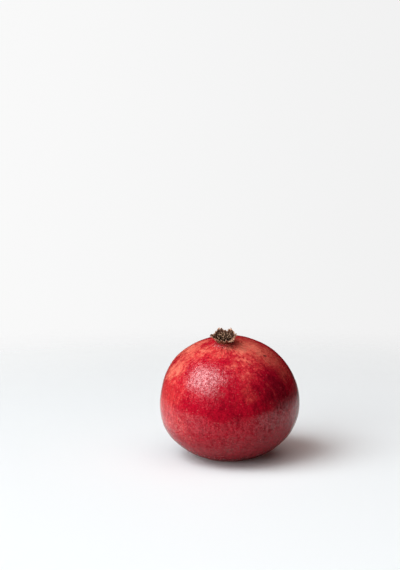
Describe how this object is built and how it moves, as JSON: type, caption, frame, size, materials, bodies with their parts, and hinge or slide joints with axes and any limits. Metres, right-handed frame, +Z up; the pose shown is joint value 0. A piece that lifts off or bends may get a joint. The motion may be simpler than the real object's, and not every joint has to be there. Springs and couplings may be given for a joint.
{
  "type": "pomegranate",
  "caption": "Whole ripe pomegranate, a round fruit with a leathery red rind and a dried crown, lying tilted on a small flat spot.",
  "frame": {"origin": "on the surface that the fruit rests on, under the middle of its bounding box", "axes": "+Z up from the resting surface; the crown leans towards -Y, and a little towards -X"},
  "size_m": [0.0962, 0.096, 0.0911],
  "materials": {
    "skin": "satin, waxy leathery rind, coral to dark crimson with fine russet mottling",
    "dried_crown": "matte, dry and creased",
    "dried_stamens": "matte, dry and brittle",
    "stalk_wood": "matte, broken end grain"
  },
  "bodies": {
    "root": {"fruit": "skin", "crown": "dried_crown", "stamens": "dried_stamens", "stalk_stub": "stalk_wood"}
  },
  "joints": []
}
